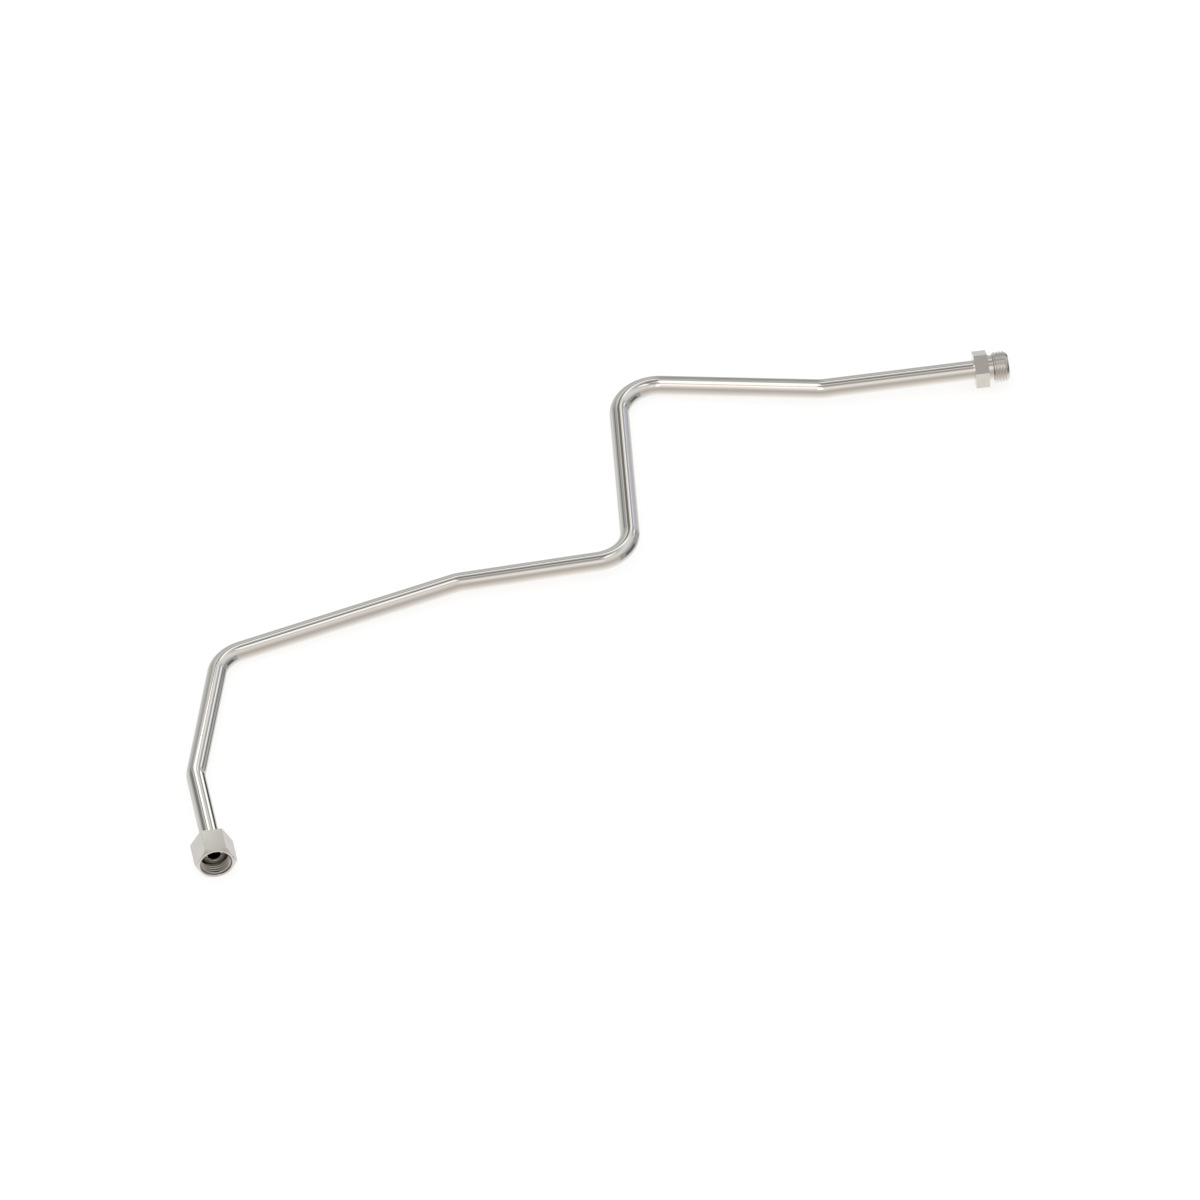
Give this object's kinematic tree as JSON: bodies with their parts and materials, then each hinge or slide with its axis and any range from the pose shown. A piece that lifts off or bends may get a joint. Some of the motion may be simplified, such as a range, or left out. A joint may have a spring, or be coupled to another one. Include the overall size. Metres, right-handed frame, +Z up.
{
  "type": "bent tube assembly",
  "caption": "Bent steel pressure tube with a loose union nut on one end and a brazed hexagon male connector on the other, for carrying fluid between fittings.",
  "frame": {"origin": "middle of the footprint, on the surface that the part lies on", "axes": "+Z up from the surface; +X along the longest side of the footprint, towards the male connector; +Y away from the mouth of the union nut"},
  "size_m": [0.4161, 0.3588, 0.0198],
  "materials": {
    "polished_tube": "polished, bright plated steel",
    "turned_sleeve": "turned steel",
    "plated_nut": "bright plated steel",
    "plated_connector": "bright plated steel"
  },
  "bodies": {
    "line": {"tube": "polished_tube", "sealing_sleeve": "turned_sleeve", "male_connector": "plated_connector"},
    "nut": {"union_nut": "plated_nut"}
  },
  "joints": [
    {"name": "nut_spin", "type": "hinge", "parent": "line", "child": "nut", "pos_m": [-0.19537, -0.16261, 0.00949], "axis": [0.1593, -0.9865, 0.0384], "continuous": true}
  ]
}
